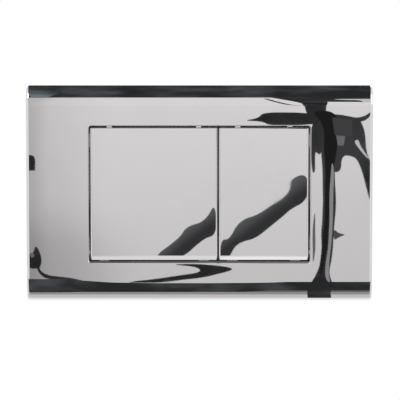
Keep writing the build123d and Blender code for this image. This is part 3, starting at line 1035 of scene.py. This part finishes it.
def glow_material(name, colour, strength):
    """A glow for a card. Its strength is a number, or a function that makes it in the node tree."""
    material, tree, shader = new_material(name)
    material.cycles.emission_sampling = "NONE"
    tree.nodes.remove(shader)
    power = strength(tree) if callable(strength) else strength
    glow = add_node(tree, "ShaderNodeEmission", Color=(*colour, 1), Strength=power)
    feed(tree, tree.nodes["Material Output"].inputs["Surface"], glow.outputs[0])
    return material


def fade(axis, start, end, first, last):
    """A strength that goes from first to last between two places on one of a card's axes."""

    def strength(tree):
        split = add_node(tree, "ShaderNodeSeparateXYZ", Vector=own_place(tree))
        return spread(tree, split.outputs[axis], start, end, first, last)

    return strength


def slant(top, direction=(-0.75, 1, 0), reach=0.022, dark=0.045, pale=0.13):
    """A strength that goes from dark to pale up to a top in a direction across a slanting flag."""

    def strength(tree):
        across = add_node(tree, "ShaderNodeVectorMath", operation="DOT_PRODUCT", Vector=own_place(tree))
        feed(tree, across.inputs[1], direction)
        return spread(tree, across.outputs["Value"], top - reach, top, dark, pale)

    return strength


def patches(scale, low, high, dark, pale):
    """A strength that goes from dark to pale in patches."""
    return lambda tree: spread(tree, noise(tree, scale, detail=3), low, high, dark, pale)


def dimmed(strength, tone):
    """Full strength, down to a tone where another strength is full."""
    return lambda tree: spread(tree, strength(tree), 0, 1, 1, tone)


def together(operation, *strengths):
    """The strengths multiplied or added."""
    return lambda tree: chain(tree, operation, *(strength(tree) for strength in strengths))


def outline(axis, level, *pairs):
    """Corners on a plane square to one axis, from their places on the other two."""
    slot = "XYZ".index(axis)
    return [(*pair[:slot], level, *pair[slot:]) for pair in pairs]


def rectangle(axis, level, first, second):
    """The corners of a rectangle square to one axis, from its reach along the other two."""
    (left, right), (low, high) = first, second
    return outline(axis, level, (left, low), (right, low), (right, high), (left, high))


def ground_light(side):
    return together("MULTIPLY", fade("Y", -0.45, -1, 1, 0.75), fade("X", side * 0.2, side * 0.8, 1, 0.65))


FRONT_LIGHT = together(
    "MULTIPLY",
    fade("Z", -0.3, 0.14, 0.785, 0.998),
    fade("X", -0.235, -0.11, 0.85, 1),
    fade("X", -0.228, -0.196, 0.8, 1),
    dimmed(together("MULTIPLY", fade("Z", -0.22, -0.09, 1, 0), fade("X", -0.235, -0.02, 1, 0)), tone=0.72),
)
BLUE_LIGHT = together("MULTIPLY", fade("Y", -0.055, -0.02, 0.34, 0.15), fade("X", -0.125, -0.104, 1, 0.35))
UNDER_LIGHT = together("ADD", fade("Y", -0.034, -0.016, 0.12, 0.77), fade("Y", -0.011, 0.003, 0, 0.45))
FLOOR_LIGHT = fade("X", 0.01, 0.03, 1, 1.2)
RIM = (RIM_TINT, patches(scale=22, low=0.4, high=0.75, dark=0.035, pale=0.12))
FLAG_LIGHT = patches(scale=9, low=0.35, high=0.7, dark=0.025, pale=0.065)
SLANT_LIGHTS = {"left_slant_flag": slant(-0.105), "right_slant_flag": slant(-0.143)}
LOW_FLAG = (
    (-0.15, -0.1008), (0.15, -0.1008), (0.15, -0.0683), (0.068, -0.0683), (0.038, -0.0694),
    (0.01, -0.0699), (-0.03, -0.0699), (-0.068, -0.0687), (-0.106, -0.0661), (-0.15, -0.0661),
)
LEFT_STREAK = (
    (-0.11, -0.1), (0.0827, -0.1), (0.0827, -0.09), (0.055, -0.09), (0.03, -0.0955), (-0.09, -0.0955),
)
BLUE_CARD = ((-0.133, -0.012), (-0.13, -0.056), (-0.117, -0.058), (-0.104, -0.02))
# Reaches that two cards share
SIDE_Y = (-0.125, -0.021)
SIDE_Z = (-0.09, 0.085)
FLAT_Z = (-0.297, 0.95)
GROUND_Y = (-1.37, -0.2)
FOOT_X = (0.0827, 0.1007)
# Bright cards, and the dark flags and grey streaks along the rims: the colour, the strength and the corners
CARDS = {
    "front_card": (WHITE, FRONT_LIGHT, rectangle("Y", -1.35, (-0.45, 0.45), (-0.28, 0.95))),
    "left_flat": (WHITE, fade("X", -0.45, -1.1, 0.7, 0.52), rectangle("Y", -1.35, (-0.45, -1.6), FLAT_Z)),
    "right_flat": (WHITE, fade("X", 0.45, 1.1, 0.95, 0.52), rectangle("Y", -1.35, (0.45, 1.6), FLAT_Z)),
    "left_ground": (WHITE, ground_light(-1), rectangle("Z", -0.295, (-0.16, -1.4), GROUND_Y)),
    "right_ground": (WHITE, ground_light(1), rectangle("Z", -0.295, (0.16, 1.4), GROUND_Y)),
    "floor_card": (WHITE, FLOOR_LIGHT, rectangle("Z", -0.29, (-0.2, 0.2), (-0.46, -0.26))),
    "left_card": (WHITE, 1.05, rectangle("X", -0.15, SIDE_Y, SIDE_Z)),
    "right_card": (WHITE, 1.05, rectangle("X", 0.15, SIDE_Y, SIDE_Z)),
    "under_card": (WHITE, UNDER_LIGHT, rectangle("Z", -0.103, (-0.15, 0.15), (-0.03, 0.12))),
    "blue_card": (BLUE_TINT, BLUE_LIGHT, outline("Z", 0.1045, *BLUE_CARD)),
    "top_flag": (*RIM, rectangle("Z", 0.105, (-0.14, 0.14), (-0.0627, 0.15))),
    "low_flag": (*RIM, outline("Y", -0.03, *LOW_FLAG)),
    "foot_flag": (*RIM, rectangle("Z", -0.1025, FOOT_X, (-0.03, -0.0055))),
    "foot_riser": (*RIM, rectangle("Y", -0.0299, FOOT_X, (-0.1026, -0.098))),
    "left_streak": (COOL_TINT, 0.22, outline("Y", -0.0298, *LEFT_STREAK)),
    "right_streak": (COOL_TINT, 0.22, rectangle("Y", -0.0298, (0.1007, 0.14), (-0.1, -0.09))),
}


def reflections_only(piece):
    for ray in ("camera", "diffuse", "transmission", "shadow"):
        setattr(piece, "visible_" + ray, False)


def make_cards():
    """Cards and flags that only reflections see."""
    for name, (colour, strength, corners) in CARDS.items():
        mesh = bpy.data.meshes.new(name)
        mesh.from_pydata(corners, [], [tuple(range(len(corners)))])
        mesh.materials.append(glow_material(name, colour, strength))
        reflections_only(add_object(name, mesh))


def make_flags(camera):
    """Flags with soft outlines, each where the camera sees its reflection on the plate."""
    eye = camera.location
    for name, shape in DARK_FLAGS.items():
        soft_flag(name, FLAG_TINT, SLANT_LIGHTS.get(name, FLAG_LIGHT), shape, eye, FLAG_DISTANCE)
    for count, (name, (tone, shape)) in enumerate(TONED_FLAGS.items(), 1):
        soft_flag(name, COOL_TINT, tone, shape, eye, FLAG_DISTANCE - FLAG_STEP * count)


def soft_flag(name, colour, strength, shape, eye, distance):
    """A flat curve, this far in front of the plate, whose reflection on it has this outline."""
    curve = bpy.data.curves.new(name, "CURVE")
    curve.dimensions = "2D"
    curve.fill_mode = "BOTH"
    curve.materials.append(glow_material(name, colour, strength))
    edge = curve.splines.new("NURBS")
    edge.points.add(len(shape) - 1)
    stretch = distance / (PLATE_FRONT - eye.y)
    for knot, (x, z) in zip(edge.points, shape):
        point = Vector((x * MILLIMETRE, PLATE_FRONT, z * MILLIMETRE))
        beyond = point + (point - eye) * stretch
        knot.co = (beyond.x, beyond.z, 0, 1)
    edge.use_cyclic_u = True
    edge.order_u = 3
    flag = add_object(name, curve)
    flag.location.y = PLATE_FRONT - distance
    flag.rotation_euler.x = math.pi / 2
    reflections_only(flag)


def make_lamps():
    for name, place, power, size in (
        ("key_lamp", (-0.9, -1.3, 1.3), 14, 0.9),
        ("fill_lamp", (1.3, -0.6, 0.5), 6, 0.8),
        ("back_lamp", (0.5, 1.5, 1.1), 8, 0.9),
    ):
        lamp = add_object(name, bpy.data.lights.new(name, "AREA"))
        lamp.data.energy = power
        lamp.data.size = size
        lamp.location = place
        lamp.rotation_euler = (-Vector(place)).to_track_quat("-Z", "Y").to_euler()


def make_camera(scene, sizes):
    camera = add_object("camera", bpy.data.cameras.new("camera"))
    camera.data.lens = sizes.camera_lens
    back = Vector((0, -math.cos(sizes.camera_height), math.sin(sizes.camera_height)))
    camera.location = Vector(CAMERA_TARGET) + back * sizes.camera_distance
    camera.rotation_euler = (-back).to_track_quat("-Z", "Y").to_euler()
    scene.camera = camera
    return camera


SETTINGS = {"flush_finish": FinishSettings, "flush_pieces": PieceSettings, "flush_stage": StageSettings}
PIECES = (
    FLUSH_OT_cover_plate,
    FLUSH_OT_buttons,
    FLUSH_OT_mounting_frame,
    FLUSH_OT_stop_buffers,
    FLUSH_OT_quiet_strip,
    FLUSH_OT_hinge_pins,
    FLUSH_OT_plungers,
    FLUSH_OT_fixing_bolts,
    FLUSH_OT_push_rods,
    FLUSH_OT_push_tips,
    FLUSH_OT_return_springs,
    FLUSH_OT_stage,
)


class FLUSH_PT_panel(bpy.types.Panel):
    """The settings, and the pieces in the order they are made"""

    bl_idname = "FLUSH_PT_panel"
    bl_label = "Flush plate"
    bl_space_type = "VIEW_3D"
    bl_region_type = "UI"
    bl_category = "Flush plate"

    def draw(self, context):
        for group in SETTINGS:
            settings = getattr(context.scene, group)
            box = self.layout.box()
            for name in settings.__annotations__:
                box.prop(settings, name)
        for piece in PIECES:
            self.layout.operator(piece.bl_idname)


CLASSES = (*SETTINGS.values(), *PIECES, FLUSH_PT_panel)


def register():
    for cls in CLASSES:
        bpy.utils.register_class(cls)
    for name, group in SETTINGS.items():
        setattr(bpy.types.Scene, name, bpy.props.PointerProperty(type=group))


def unregister():
    for name in SETTINGS:
        delattr(bpy.types.Scene, name)
    for cls in reversed(CLASSES):
        bpy.utils.unregister_class(cls)


def main():
    register()
    bpy.ops.flush.cover_plate()
    bpy.ops.flush.buttons()
    bpy.ops.flush.mounting_frame()
    bpy.ops.flush.stop_buffers()
    bpy.ops.flush.quiet_strip()
    bpy.ops.flush.hinge_pins()
    bpy.ops.flush.plungers()
    bpy.ops.flush.fixing_bolts()
    bpy.ops.flush.push_rods()
    bpy.ops.flush.push_tips()
    bpy.ops.flush.return_springs()
    bpy.ops.flush.stage()


if __name__ == "__main__":
    main()
